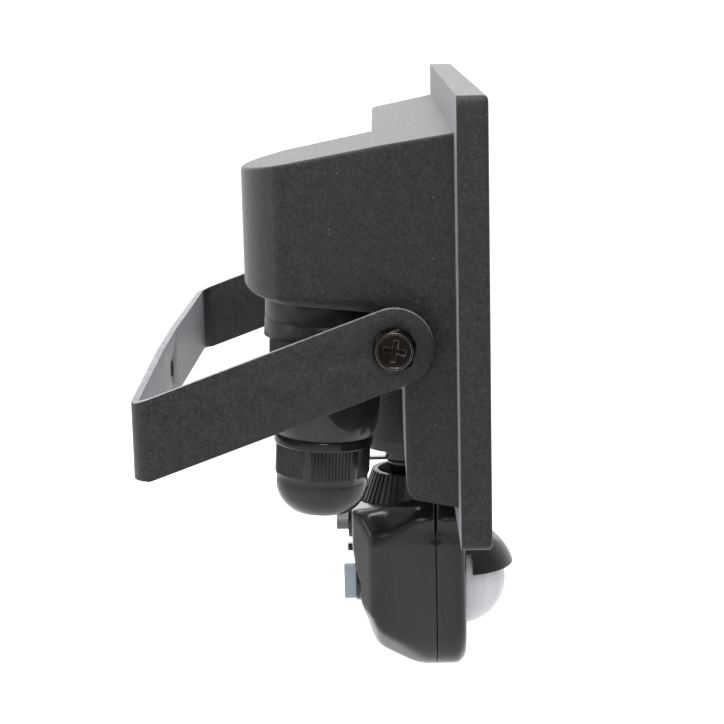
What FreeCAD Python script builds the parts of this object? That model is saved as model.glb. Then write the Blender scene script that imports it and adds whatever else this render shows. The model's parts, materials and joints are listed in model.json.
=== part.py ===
import FreeCAD, Part
import math
import os
import re
import Sketcher

# Driving sizes, millimetres and degrees. The wall plane is Y = 0, the lamp faces -Y, +Z is up
# and the origin is the centre of the wall hole on the wall face of the bracket.
SIZES = {
    # bracket strip
    "stripWidth": 20,
    "stripThickness": 2,
    "armClear": 2.5,
    "pivotReach": 68.8,
    "pivotHeight": 23.4,
    "armSlope": 19.93,
    "bendRadius": 6,
    "crossbarFlat": 40,
    "crossbarBow": 1.58,
    "wallHole": 8,
    # pivot hardware
    "screwThread": 6,
    "runningGap": 0.06,
    "faceGap": 0.05,
    "hexAcross": 9.9,
    "hexHeight": 3.6,
    "dishWall": 0.75,
    "hexChamfer": 0.3,
    "screwTurn": -12,
    "crossWide": 1.3,
    "crossLong": 5.6,
    "crossDeep": 1.6,
    "dishDepth": 0.7,
    "springWasherWide": 10.8,
    "springWasherThick": 1.4,
    "springWasherSplit": 1,
    "frictionWasherWide": 15,
    "frictionWasherThick": 1.2,
    "screwGrip": 8,
    "lugWide": 17,
    "lugRoot": 12,
    # lamp housing, measured from the back plane of the rim
    "pivotSetback": 15.7,
    "pivotDrop": 6.6,
    "rimWidth": 214.8,
    "rimHeight": 112.6,
    "rimDepth": 7.75,
    "rimCorner": 2.5,
    "rimEdge": 1.1,
    "sideLip": 15.1,
    "topLip": 9.8,
    "bottomLip": 7.4,
    "trayDepth": 13.1,
    "boxDepth": 20.5,
    "boxFloor": 2,
    "sideDraft": 0.36,
    "topDraft": 0.176,
    "bottomDraft": 0.1,
    "castEdge": 1,
    "trayEdge": 3,
    # driver bulge
    "bulgeInset": 6.1,
    "bulgeNearLean": 1,
    "bulgeWide": 61.4,
    "bulgeFarLean": 9.4,
    "bulgeSideDepth": 44.1,
    "bulgeRadius": 35.2,
    "bulgeCorner": 5,
    "creaseRound": 25,
    "bulgeRound": 3.5,
    "bulgeFloor": 1.75,
    "floorSlope": 6,
    # glass, reflector and lights
    "frameSide": 11.4,
    "frameTop": 7.3,
    "glassThick": 4,
    "glassSink": 0.7,
    "glassGap": 0.4,
    "glassCorner": 1.5,
    "gasketThick": 1,
    "bowlSide": 11,
    "bowlTop": 7,
    "bowlFloor": 9,
    "sheetThick": 0.6,
    "sheetGap": 0.3,
    "boardSide": 10,
    "boardTop": 12,
    "boardThick": 1.6,
    "boardGap": 1,
    "chipSize": 3,
    "chipThick": 0.8,
    "chipPitch": 11.6,
    "chipMargin": 11,
    "boardScrewHead": 5.4,
    "boardScrewRise": 1.8,
    "boardScrewThread": 2.9,
    "boardScrewLong": 3,
    "boardScrewInset": 4,
    # driver inside the bulge
    "driverSide": 9.7,
    "driverHeadroom": 15.5,
    "driverThick": 1.6,
    "driverSink": 6.6,
    "driverShift": 4.5,
    "driverFloor": 6,
    "chamberWall": 1.1,
    "driverMargin": 2.5,
    "transformerWide": 16,
    "transformerEnd": 6.5,
    "transformerDeep": 15,
    "capacitorWide": 10,
    "capacitorLong": 17,
    # cable connector, along its own axis from the bulge floor
    "connectorInset": 27.2,
    "connectorSetback": 32.7,
    "connectorTilt": 3.5,
    "seatClear": 0.3,
    "collarWide": 36,
    "collarLong": 8.3,
    "spigotWide": 17,
    "spigotLong": 6,
    "nippleInset": 5.5,
    "nippleLong": 11,
    "nippleEnd": 4,
    "wireBore": 11,
    "skirtLong": 3.5,
    "plugLong": 30.3,
    "hexInset": 2,
    "hexTaper": 1.5,
    "coneTrim": 0.6,
    "coneGap": 0.3,
    "coneLong": 10,
    "glandWall": 3.5,
    "neckLong": 10,
    "glandWide": 27,
    "glandLong": 21.4,
    "glandBand": 11.1,
    "glandStep": 0.9,
    "glandRing": 2.6,
    "panelDeep": 0.45,
    "panelGap": 1.6,
    "panelCount": 6,
    "glandRound": 9.5,
    "glandLip": 5.5,
    "glandThread": 11,
    "neckWall": 2.3,
    "sealBore": 8,
    "cableClear": 0.4,
    "sealLong": 9,
    "pinWide": 2.4,
    "pinLong": 12,
    "pinCircle": 4.6,
    "nippleWall": 4,
    "blockLong": 13,
    "blockGap": 1,
    # sensor foot, from the ball centre up
    "ballSetback": 11.5,
    "ballBelow": 15.7,
    "ballWide": 18.4,
    "linerThick": 1,
    "linerLow": 5.5,
    "linerHigh": 4.2,
    "neckRadius": 6.4,
    "neckRoot": 4.5,
    "stopWide": 2,
    "stopLong": 12.5,
    "stopThick": 0.9,
    "stopRise": 13.2,
    "footWide": 26,
    "footThick": 4,
    "footTop": 22,
    "footStub": 10,
    "footStubLong": 8,
    "padDepth": 12,
    "padWidth": 30,
    "padRise": 16,
    "padCorner": 9,
    # lock ring
    "ringWall": 1.8,
    "ringTopRise": 10.4,
    "ringSkirt": 2.6,
    "ringFootRise": 0.5,
    "collarWall": 3.2,
    "collarRise": 3,
    "seatRise": 0.9,
    "ringRimGap": 0.1,
    "ringGrip": 1.1,
    "ribDeep": 0.45,
    "ribGap": 0.8,
    "ribCount": 44,
    # sensor head, from the ball centre
    "headHalf": 24,
    "headBottom": 49.5,
    "headSole": 60,
    "headCorner": 15,
    "headShoulder": 4,
    "headTop": 7,
    "headFront": 16.5,
    "partingFront": 7.5,
    "headRear": 17.4,
    "kneeDrop": 10.7,
    "waistDrop": 25.5,
    "waistIn": 2.1,
    "heelRise": 7.9,
    "heelIn": 6.2,
    "soleDrop": 0.3,
    "soleIn": 22.4,
    "heelRound": 8,
    "headWall": 2.2,
    "facetWide": 10,
    "facetDeep": 6,
    "facetRound": 3,
    "shoulderRound": 3,
    "headEdge": 2,
    "soleEdge": 4,
    "lensDrop": 24.6,
    "lensSetback": 14.9,
    "lensRadius": 14.4,
    "lensWall": 0.8,
    "lensFlange": 1.6,
    "hoodSpace": 3.2,
    "hoodWall": 1.5,
    "hoodDrop": 5.3,
    "hoodSkirt": 2,
    "hoodRoot": 11,
    "sensorBoardThick": 1.4,
    "sensorBoardSide": 3,
    "sensorBoardHeight": 20,
    "canWide": 9.2,
    "canDeep": 4.4,
    "eyeWide": 5,
    "eyeDeep": 3,
    # dials on the back of the head
    "knobWide": 11.6,
    "knobDeep": 3.6,
    "knobGrip": 3.6,
    "knobBar": 3.4,
    "knobBarLong": 10.9,
    "knobGap": 0.3,
    "timeKnobInset": 12,
    "timeKnobDrop": 21.6,
    "timeKnobSeat": 12.9,
    "luxKnobInset": 18,
    "luxKnobDrop": 7.1,
    "luxKnobSeat": 15.2,
    "luxKnobTurn": 80,
}

# Sizes that follow from the ones above, so that what fits together stays together.
FITS = {
    "trayWidth": "rimWidth - 2 * sideLip",
    "trayTop": "rimHeight / 2 - topLip",
    "trayBottom": "rimHeight / 2 - bottomLip",
    "bracketWidth": "trayWidth + 2 * armClear",
    "hexDish": "hexAcross - 2 * dishWall",
    "bulgeNear": "trayWidth / 2 - bulgeInset",
    "bulgeNearRear": "bulgeNear - bulgeNearLean",
    "bulgeFar": "bulgeNear - bulgeWide",
    "bulgeFarRear": "bulgeFar + bulgeFarLean",
    "glassWidth": "rimWidth - 2 * frameSide",
    "glassHeight": "rimHeight - 2 * frameTop",
    "bowlWidth": "glassWidth - 2 * bowlSide",
    "bowlHeight": "glassHeight - 2 * bowlTop",
    "boardWidth": "bowlWidth - 2 * boardSide",
    "boardHeight": "bowlHeight - 2 * boardTop",
    "driverWidth": "bulgeWide - 2 * driverSide",
    "driverHeight": "trayTop - driverHeadroom",
    "driverLedge": "bowlFloor + driverSink",
    "driverCentre": "bulgeNear - bulgeWide / 2 + driverShift",
    "driverRise": "driverFloor + driverHeight / 2",
    "driverChamber": "bulgeSideDepth - chamberWall",
    "transformerTall": "driverHeight - 2 * transformerEnd",
    "connectorOffset": "bulgeNear - connectorInset",
    "connectorSeat": "connectorSetback * tan(floorSlope) + collarWide / 2 * (tan(floorSlope) - tan(connectorTilt))",
    "nipple": "collarWide - 2 * nippleInset",
    "hexTop": "collarWide - 2 * hexInset",
    "hexBottom": "hexTop - 2 * hexTaper",
    "coneTop": "collarWide / 2 - coneTrim",
    "coneBottom": "glandWide / 2 - coneGap",
    "neckWide": "glandWide - 2 * glandWall",
    "glandMouth": "glandWide - 2 * glandLip",
    "sealWide": "neckWide - 2 * neckWall",
    "blockWide": "nipple - 2 * nippleWall",
    "ballDrop": "rimHeight / 2 + ballBelow",
    "ringTop": "ballWide / 2 + ringWall",
    "collarRadius": "ballWide / 2 + collarWall",
    "ringFoot": "collarRadius + ringSkirt",
    "ringRim": "ballWide / 2 + ringRimGap",
    "ringLip": "ballWide / 2 - ringGrip",
    "hoodRadius": "lensRadius + hoodSpace",
    "sensorBoardWidth": "2 * headHalf - 2 * sensorBoardSide",
    "soleCentre": "headSole - headBottom",
    "cornerAcross": "headHalf - headCorner",
    "cornerDrop": "sqrt((headSole - headCorner) ^ 2 - cornerAcross ^ 2) - soleCentre",
    "timeKnobAcross": "headHalf - timeKnobInset",
    "luxKnobAcross": "headHalf - luxKnobInset",
}

doc = FreeCAD.newDocument("floodlight")
sheet = doc.addObject("Spreadsheet::Sheet", "dims")
for row, (alias, value) in enumerate(SIZES.items(), start=1):
    sheet.set("A%d" % row, alias)
    sheet.set("B%d" % row, str(value))
    sheet.setAlias("B%d" % row, alias)
doc.recompute()


# Expressions name sizes and fits by their bare words.
def spelled(text, word):
    return re.sub(r"[A-Za-z]\w*", lambda found: word(found.group()), text)


def fitted(text):
    return spelled(text, lambda name: "(%s)" % fitted(FITS[name]) if name in FITS else name)


def bound(text):
    return spelled(fitted(text), lambda name: "dims." + name if name in SIZES else name)


def value(text):
    return float(sheet.evalExpression(fitted(text)))


# The lamp, connector and head each have a frame of their own.
LAMP = ("0", "-(pivotReach + pivotSetback)", "pivotHeight + pivotDrop")
CONNECTOR = (
    "-connectorOffset",
    "-(pivotReach + pivotSetback) + connectorSetback",
    "pivotHeight + pivotDrop - bulgeFloor + connectorSeat",
)
HEAD = (
    "0",
    "-(pivotReach + pivotSetback) + ballSetback",
    "pivotHeight + pivotDrop - ballDrop",
)


def place(obj, frame, angle=None):
    turn = FreeCAD.Rotation(FreeCAD.Vector(1, 0, 0), value(angle) if angle else 0)
    obj.Placement = FreeCAD.Placement(FreeCAD.Vector(*[value(part) for part in frame]), turn)
    for axis, part in zip("xyz", frame):
        obj.setExpression(".Placement.Base." + axis, bound(part))
    if angle:
        obj.setExpression(".Placement.Rotation.Angle", bound(angle))


def newBody(label, frame=("0", "0", "0"), angle=None):
    body = doc.addObject("PartDesign::Body", label)
    body.Label = label
    place(body, frame, angle)
    return body


def sketch(body, role, offset=None):
    drawing = body.newObject("Sketcher::SketchObject", body.Name + "Sketch")
    base = [plane for plane in body.Origin.OriginFeatures if plane.Role == role][0]
    drawing.AttachmentSupport = [(base, "")]
    drawing.MapMode = "FlatFace"
    if offset:
        drawing.setExpression(".AttachmentOffset.Base.z", bound(offset))
    return drawing


def pin(drawing, geometry, position, across, up):
    for kind, text in (("DistanceX", across), ("DistanceY", up)):
        item = drawing.addConstraint(Sketcher.Constraint(kind, -1, 1, geometry, position, value(text)))
        drawing.setExpression("Constraints[%d]" % item, bound(text))


# A closed outline, counterclockwise. A third entry is the radius of the arc to the next point.
def outline(drawing, points):
    first = drawing.GeometryCount
    count = len(points)
    spots = [FreeCAD.Vector(value(point[0]), value(point[1]), 0) for point in points]
    for index, point in enumerate(points):
        start = spots[index]
        end = spots[(index + 1) % count]
        if len(point) == 2:
            drawing.addGeometry(Part.LineSegment(start, end), False)
            continue
        radius = value(point[2])
        half = (end - start) / 2
        rise = math.sqrt(max(radius ** 2 - half.Length ** 2, 0))
        side = FreeCAD.Vector(-half.y, half.x, 0).normalize()
        centre = start + half + side * rise
        circle = Part.Circle(centre, FreeCAD.Vector(0, 0, 1), radius)
        first_angle = math.atan2(start.y - centre.y, start.x - centre.x)
        last_angle = math.atan2(end.y - centre.y, end.x - centre.x)
        drawing.addGeometry(Part.ArcOfCircle(circle, first_angle, last_angle), False)
    for index in range(count):
        following = first + (index + 1) % count
        drawing.addConstraint(Sketcher.Constraint("Coincident", first + index, 2, following, 1))
    for index, point in enumerate(points):
        pin(drawing, first + index, 1, point[0], point[1])
        if len(point) == 3:
            radius = value(point[2])
            item = drawing.addConstraint(Sketcher.Constraint("Radius", first + index, radius))
            drawing.setExpression("Constraints[%d]" % item, bound(point[2]))
    return drawing


def box(drawing, left, low, right, high):
    return outline(drawing, [(left, low), (right, low), (right, high), (left, high)])


def circle(drawing, across, up, radius):
    centre = FreeCAD.Vector(value(across), value(up), 0)
    geometry = drawing.addGeometry(Part.Circle(centre, FreeCAD.Vector(0, 0, 1), value(radius)), False)
    pin(drawing, geometry, 3, across, up)
    item = drawing.addConstraint(Sketcher.Constraint("Radius", geometry, value(radius)))
    drawing.setExpression("Constraints[%d]" % item, bound(radius))
    return drawing


def pad(body, profile, length, back=False, both=False):
    feature = body.newObject("PartDesign::Pad", body.Name + "Pad")
    feature.Profile = profile
    feature.setExpression("Length", bound(length))
    feature.Reversed = back
    if both:
        feature.SideType = "Symmetric"
    doc.recompute()
    return feature


def cut(body, profile, length=None, back=False, both=False):
    before = body.Shape.Volume
    feature = body.newObject("PartDesign::Pocket", body.Name + "Pocket")
    feature.Profile = profile
    if length:
        feature.setExpression("Length", bound(length))
    else:
        feature.Type = "ThroughAll"
    if both or not length:
        feature.SideType = "Symmetric"
    feature.Reversed = back
    doc.recompute()
    if body.Shape.Volume > before - 1e-3:
        raise ValueError(body.Label + ": a pocket cuts nothing")
    return feature


def loft(body, first, last):
    feature = body.newObject("PartDesign::AdditiveLoft", body.Name + "Loft")
    feature.Profile = first
    feature.Sections = [last]
    doc.recompute()
    return feature


def turned(body, points, role="XZ_Plane", axis="V_Axis"):
    profile = outline(sketch(body, role), points)
    feature = body.newObject("PartDesign::Revolution", body.Name + "Turned")
    feature.Profile = profile
    feature.ReferenceAxis = (profile, [axis])
    feature.Angle = 360
    doc.recompute()
    return feature


def grooved(body, points, role="XZ_Plane", axis="V_Axis"):
    before = body.Shape.Volume
    profile = outline(sketch(body, role), points)
    feature = body.newObject("PartDesign::Groove", body.Name + "Groove")
    feature.Profile = profile
    feature.ReferenceAxis = (profile, [axis])
    feature.Angle = 360
    doc.recompute()
    if body.Shape.Volume > before - 1e-3:
        raise ValueError(body.Label + ": a groove cuts nothing")
    return feature


def rounded(body, radius, choose, kind="PartDesign::Fillet"):
    base = body.Tip
    edges = ["Edge%d" % (i + 1) for i, edge in enumerate(base.Shape.Edges) if choose(edge)]
    if not edges:
        raise ValueError(body.Label + ": no edge to round")
    feature = body.newObject(kind, body.Name + "Round")
    feature.Base = (base, edges)
    feature.setExpression("Radius" if kind.endswith("Fillet") else "Size", bound(radius))
    doc.recompute()
    return feature


def around(body, feature, count):
    pattern = body.newObject("PartDesign::PolarPattern", body.Name + "Around")
    pattern.Originals = [feature]
    axis = [item for item in body.Origin.OriginFeatures if item.Role == "Z_Axis"][0]
    pattern.Axis = (axis, [""])
    pattern.Angle = 360
    pattern.setExpression("Occurrences", bound(count))
    body.Tip = pattern
    doc.recompute()
    return pattern


def spread(edge, axis):
    box_ = edge.BoundBox
    return {"x": box_.XLength, "y": box_.YLength, "z": box_.ZLength}[axis]


def along(edge, axis):
    others = [other for other in "xyz" if other != axis]
    return spread(edge, axis) > 1e-3 and all(spread(edge, other) < 1e-3 for other in others)


# Wall bracket: one bent strip. A plan outline is cut to the bent side view of the strip.
def wallBracket():
    body = newBody("wall_bracket")
    side = "bracketWidth / 2"
    inner = "bracketWidth / 2 - stripThickness"
    flat = "crossbarFlat / 2"
    front = "-(pivotReach + stripWidth)"
    innerBow = "-stripThickness - crossbarBow"
    plan = [
        ("-" + side, front),
        ("-(%s)" % inner, front),
        ("-(%s)" % inner, innerBow),
        ("-" + flat, "-stripThickness"),
        (flat, "-stripThickness"),
        (inner, innerBow),
        (inner, front),
        (side, front),
        (side, "-crossbarBow"),
        (flat, "0"),
        ("-" + flat, "0"),
        ("-" + side, "-crossbarBow"),
    ]
    pad(body, outline(sketch(body, "XY_Plane", "-stripWidth"), plan), "pivotHeight + 3 * stripWidth")
    rounded(
        body,
        "bendRadius",
        lambda edge: along(edge, "z")
        and edge.Vertexes[0].Y > -3
        and abs(abs(edge.Vertexes[0].X) - value(side)) < 1e-3,
    )
    rounded(
        body,
        "bendRadius - stripThickness",
        lambda edge: along(edge, "z")
        and edge.Vertexes[0].Y > -9
        and abs(abs(edge.Vertexes[0].X) - value(inner)) < 1e-3,
    )
    kink = "-(pivotReach - pivotHeight / tan(armSlope))"
    mitre = "stripWidth / 2 * tan(armSlope / 2)"
    half = "stripWidth / 2"
    tipY = "-pivotReach - %s * cos(armSlope)" % half
    tipZ = "pivotHeight + %s * sin(armSlope)" % half
    across = "%s * sin(armSlope)" % half
    up = "%s * cos(armSlope)" % half
    profile = sketch(body, "YZ_Plane")
    box(profile, "-(pivotReach + 2 * stripWidth)", "-3 * stripWidth", "stripWidth", "pivotHeight + 4 * stripWidth")
    outline(
        profile,
        [
            ("1", "-" + half),
            ("1", half),
            (kink + " + " + mitre, half),
            (tipY + " + " + across, tipZ + " + " + up),
            (tipY + " - " + across, tipZ + " - (%s)" % up),
            (kink + " - " + mitre, "-" + half),
        ],
    )
    cut(body, profile)
    rounded(
        body,
        "stripWidth / 2 - 0.02",
        lambda edge: along(edge, "x") and edge.Vertexes[0].Y < -value("pivotReach + 2"),
    )
    cut(body, circle(sketch(body, "XZ_Plane"), "0", "0", "wallHole / 2"))
    cut(body, circle(sketch(body, "YZ_Plane"), "-pivotReach", "pivotHeight", "screwThread / 2 + runningGap"))
    return body


# Lamp housing: one casting, measured from the back plane of its rim.
def slopedTop(depth):
    return "trayTop - topDraft * (%s)" % depth


def slopedSide(depth):
    return "trayWidth / 2 - sideDraft * (%s)" % depth


def onPlane(edge, height):
    return all(abs(corner.Z - height(corner.Y)) < 1e-3 for corner in edge.Vertexes)


def tray(body):
    profile = [
        ("0", "-trayBottom"),
        ("trayDepth", "-trayBottom + bottomDraft * trayDepth"),
        ("trayDepth", "-boxFloor"),
        ("boxDepth", "-boxFloor"),
        ("boxDepth", slopedTop("boxDepth")),
        ("0", "trayTop"),
    ]
    pad(body, outline(sketch(body, "YZ_Plane"), profile), "trayWidth", both=True)
    far = "2 * boxDepth"
    edge = "trayWidth / 2"
    left = [("-" + edge, "0"), ("-(%s)" % slopedSide(far), far), ("-" + edge, far)]
    right = [(edge, "0"), (edge, far), (slopedSide(far), far)]
    for wedge in (left, right):
        cut(body, outline(sketch(body, "XY_Plane"), wedge))
    rear = value("trayDepth")
    rounded(
        body,
        "trayEdge",
        lambda edge: abs(edge.BoundBox.YMin - rear) < 1e-3
        and abs(edge.BoundBox.YMax - rear) < 1e-3
        and edge.BoundBox.ZMin < -value("boxFloor") - 1,
    )


def bulge(body):
    plan = [
        ("-bulgeNear", "trayDepth / 2"),
        ("-bulgeFar", "trayDepth / 2"),
        ("-bulgeFarRear", "bulgeSideDepth", "bulgeRadius"),
        ("-bulgeNearRear", "bulgeSideDepth"),
    ]
    pad(body, outline(sketch(body, "XY_Plane", "-20"), plan), "trayTop + 40")
    far = "2 * bulgeSideDepth"
    high = "trayTop + 40"
    low = "-trayBottom"
    floor = "-bulgeFloor + tan(floorSlope) * (%s)"
    over = [("0", "trayTop"), (far, slopedTop(far)), (far, high), ("0", high)]
    under = [("trayDepth", low), (far, low), (far, floor % far), ("trayDepth", floor % "trayDepth")]
    cut(body, outline(sketch(body, "YZ_Plane"), over))
    cut(body, outline(sketch(body, "YZ_Plane"), under))
    inner = value("trayDepth")
    rounded(
        body,
        "creaseRound",
        lambda edge: edge.BoundBox.ZLength > 20
        and edge.BoundBox.XMax < -value("bulgeNearRear")
        and edge.BoundBox.XLength < 0.5
        and inner < edge.BoundBox.YMin < value("boxDepth"),
    )
    rear = value("bulgeSideDepth") - 1
    slope = math.tan(math.radians(value("floorSlope")))
    floorPlane = lambda depth: depth * slope - value("bulgeFloor")
    topPlane = lambda depth: value("trayTop") - value("topDraft") * depth
    rounded(body, "bulgeCorner", lambda edge: along(edge, "z") and edge.Vertexes[0].Y > rear)
    rounded(
        body,
        "bulgeRound",
        lambda edge: onPlane(edge, floorPlane) and edge.BoundBox.YMax > value("boxDepth") + 1,
    )
    rounded(
        body,
        "castEdge",
        lambda edge: onPlane(edge, topPlane) and edge.BoundBox.YMax > value("boxDepth") + 1,
    )
    back = value("boxDepth")
    rounded(
        body,
        "castEdge",
        lambda edge: abs(edge.BoundBox.YMin - back) < 1e-3
        and abs(edge.BoundBox.YMax - back) < 1e-3
        and edge.BoundBox.XMax > 0,
    )


def rim(body):
    profile = sketch(body, "XZ_Plane")
    box(profile, "-rimWidth / 2", "-rimHeight / 2", "rimWidth / 2", "rimHeight / 2")
    pad(body, profile, "rimDepth")
    rounded(body, "rimCorner", lambda edge: along(edge, "y") and edge.BoundBox.YMax < 1e-3)
    rounded(body, "rimEdge", lambda edge: edge.BoundBox.YMax < -value("rimDepth") + 1e-3)


def lugFace():
    return "bracketWidth / 2 - stripThickness - faceGap - frictionWasherThick"


def tiltedSketch(body):
    drawing = sketch(body, "XY_Plane")
    spot = ("-connectorOffset", "connectorSetback", "-bulgeFloor + connectorSeat")
    turn = FreeCAD.Rotation(FreeCAD.Vector(1, 0, 0), value("connectorTilt"))
    drawing.AttachmentOffset = FreeCAD.Placement(FreeCAD.Vector(*[value(part) for part in spot]), turn)
    for axis, part in zip("xyz", spot):
        drawing.setExpression(".AttachmentOffset.Base." + axis, bound(part))
    drawing.setExpression(".AttachmentOffset.Rotation.Angle", bound("connectorTilt"))
    return drawing


# Places of the board screws as width and height from the board's centre.
def boardScrews():
    across = "boardWidth / 2 - boardScrewInset"
    up = "boardHeight / 2 - boardScrewInset"
    return [("-(%s)" % across, "-(%s)" % up), ("0", "-(%s)" % up), (across, "-(%s)" % up),
            ("-boardWidth / 5", up), (across, up)]


def housingHollows(body):
    sink = "glassSink + glassThick + gasketThick"
    width = "glassWidth / 2 + glassGap"
    height = "glassHeight / 2 + glassGap"
    rebate = sketch(body, "XZ_Plane", "rimDepth")
    cut(body, box(rebate, "-(%s)" % width, "-(%s)" % height, width, height), sink)
    bowl = sketch(body, "XZ_Plane", "rimDepth")
    box(bowl, "-bowlWidth / 2", "-bowlHeight / 2", "bowlWidth / 2", "bowlHeight / 2")
    cut(body, bowl, "rimDepth + bowlFloor")
    for margin, floor in (("boardGap / 2", "driverLedge"), ("-driverMargin", "driverChamber")):
        opening = sketch(body, "XZ_Plane", "-bowlFloor")
        box(
            opening,
            "-driverCentre - driverWidth / 2 - (%s)" % margin,
            "driverRise - driverHeight / 2 - (%s)" % margin,
            "-driverCentre + driverWidth / 2 + (%s)" % margin,
            "driverRise + driverHeight / 2 + (%s)" % margin,
        )
        cut(body, opening, floor + " - bowlFloor")
    cut(body, circle(tiltedSketch(body), "0", "0", "collarWide / 2 + seatClear"), "2 * spigotLong")
    cut(body, circle(tiltedSketch(body), "0", "0", "spigotWide / 2 + faceGap"), "2 * spigotLong", True)
    holes = sketch(body, "XZ_Plane", "-bowlFloor")
    for across, up in boardScrews():
        circle(holes, across, up, "boardScrewThread / 2 + faceGap")
    cut(body, holes, "boardScrewLong - boardThick + 0.2")
    for sign, back in (("", False), ("-", True)):
        bore = sketch(body, "YZ_Plane", "%s(%s)" % (sign, lugFace()))
        circle(bore, "pivotSetback", "-pivotDrop", "screwThread / 2 + faceGap")
        cut(body, bore, "screwGrip + 1", back)
    stub = sketch(body, "XY_Plane", "-(ballDrop - footTop)")
    cut(body, circle(stub, "0", "ballSetback", "footStub / 2 + faceGap"), "footStubLong + 0.3", True)


def lampHousing():
    body = newBody("lamp_housing", LAMP)
    tray(body)
    bulge(body)
    rim(body)
    for sign, back in (("", True), ("-", False)):
        profile = sketch(body, "YZ_Plane", "%s(%s)" % (sign, lugFace()))
        circle(profile, "pivotSetback", "-pivotDrop", "lugWide / 2")
        pad(body, profile, "lugRoot", back)
    root = sketch(body, "XY_Plane", "-(ballDrop - footTop)")
    box(root, "-padWidth / 2", "trayDepth / 4", "padWidth / 2", "ballSetback + padDepth")
    pad(body, root, "padRise")
    corner = value("ballSetback + padDepth")
    rounded(body, "padCorner", lambda edge: along(edge, "z") and abs(edge.BoundBox.YMax - corner) < 1e-3)
    housingHollows(body)


# Glass, gasket, reflector, light board and driver: flat pieces that face the front.
def slab(label, halfWidth, halfHeight, front, thickness, frame=LAMP, window=None, centre=("0", "0")):
    body = newBody(label, frame)
    face = sketch(body, "XZ_Plane", front)
    across, up = centre
    left = "%s - (%s)" % (across, halfWidth)
    right = "%s + %s" % (across, halfWidth)
    box(face, left, "%s - (%s)" % (up, halfHeight), right, "%s + %s" % (up, halfHeight))
    if window:
        box(face, "-(%s)" % window[0], "-(%s)" % window[1], window[0], window[1])
    pad(body, face, thickness, True)
    return body


def lightUnit():
    glassFront = "rimDepth - glassSink"
    glass = slab("front_glass", "glassWidth / 2", "glassHeight / 2", glassFront, "glassThick")
    rounded(glass, "glassCorner", lambda edge: along(edge, "y"))
    bowl = ("bowlWidth / 2", "bowlHeight / 2")
    slab("glass_gasket", "glassWidth / 2", "glassHeight / 2", glassFront + " - glassThick", "gasketThick", window=bowl)
    width = "bowlWidth / 2 - sheetGap"
    height = "bowlHeight / 2 - sheetGap"
    wall = (width + " - sheetThick", height + " - sheetThick")
    sheetFront = glassFront + " - glassThick - gasketThick - sheetGap"
    reflector = slab("reflector_sheet", width, height, sheetFront, sheetFront + " + bowlFloor", window=wall)
    floor = sketch(reflector, "XZ_Plane", "-bowlFloor")
    box(floor, "-(%s)" % width, "-(%s)" % height, width, height)
    window = ("boardWidth / 2 + boardGap", "boardHeight / 2 + boardGap")
    box(floor, "-(%s)" % window[0], "-(%s)" % window[1], window[0], window[1])
    pad(reflector, floor, "sheetThick")
    board = slab("led_board", "boardWidth / 2", "boardHeight / 2", "boardThick - bowlFloor", "boardThick")
    holes = sketch(board, "XZ_Plane")
    for across, up in boardScrews():
        circle(holes, across, up, "boardScrewThread / 2 + 2 * faceGap")
    cut(board, holes)


def group(label, shapes, frame, angle=None):
    feature = doc.addObject("Part::Feature", label)
    feature.Label = label
    feature.Shape = Part.makeCompound(shapes)
    place(feature, frame, angle)


def lightChips():
    size = value("chipSize")
    front = value("bowlFloor - boardThick - chipThick")
    pitch = value("chipPitch")
    columns = int(value("(boardWidth - 2 * chipMargin) / chipPitch")) + 1
    rows = int(value("(boardHeight - 2 * chipMargin) / chipPitch")) + 1
    chips = []
    for column in range(columns):
        for row in range(rows):
            left = (column - (columns - 1) / 2) * pitch - size / 2
            low = (row - (rows - 1) / 2) * pitch - size / 2
            chips.append(Part.makeBox(size, value("chipThick"), size, FreeCAD.Vector(left, front, low)))
    group("led_chips", chips, LAMP)


def boardScrewGroup():
    rear = FreeCAD.Vector(0, 1, 0)
    front = value("bowlFloor - boardThick")
    rise = value("boardScrewRise")
    screws = []
    for across, up in boardScrews():
        seat = FreeCAD.Vector(value(across), front, value(up))
        head = Part.makeCone(
            value("boardScrewHead / 2 - 0.6"), value("boardScrewHead / 2"), rise, seat - rear * rise, rear
        )
        shank = Part.makeCylinder(value("boardScrewThread / 2"), value("boardScrewLong"), seat, rear)
        screws.append(head.fuse(shank).removeSplitter())
    group("board_screws", screws, LAMP)


def driver():
    centre = ("-driverCentre", "driverRise")
    front = "driverThick - driverLedge"
    slab("driver_board", "driverWidth / 2", "driverHeight / 2", front, "driverThick", centre=centre)
    spot = ("-driverCentre - driverWidth / 5", "driverRise")
    slab("transformer", "transformerWide / 2", "transformerTall / 2", "-driverLedge", "transformerDeep", centre=spot)
    body = newBody("capacitor", LAMP)
    face = sketch(body, "XZ_Plane", "-driverLedge")
    circle(face, "-driverCentre + driverWidth / 4", "driverRise", "capacitorWide / 2")
    pad(body, face, "capacitorLong", True)
    rounded(body, "castEdge", lambda edge: edge.BoundBox.YMin > value("driverLedge + capacitorLong") - 1e-3)


# Pivot hardware: the head faces outward along each sleeve's own +Z.
def pivotSet(side, sign):
    frame = (sign + "(bracketWidth / 2)", "-pivotReach", "pivotHeight")
    turn = FreeCAD.Rotation(FreeCAD.Vector(0, 1, 0), -90 if sign else 90)
    turn = turn.multiply(FreeCAD.Rotation(FreeCAD.Vector(0, 0, 1), value("screwTurn")))
    for label, make in (
        ("pivot_screw_", pivotScrew),
        ("spring_washer_", springWasher),
        ("friction_washer_", frictionWasher),
    ):
        body = newBody(label + side, frame)
        body.Placement = FreeCAD.Placement(body.Placement.Base, turn)
        for axis, part in zip("xyz", frame):
            body.setExpression(".Placement.Base." + axis, bound(part))
        make(body)


def hexagon(drawing, across):
    corners = [(across + " / sqrt(3) * cos(%d)" % turn, across + " / sqrt(3) * sin(%d)" % turn) for turn in range(0, 360, 60)]
    return outline(drawing, corners)


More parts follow.
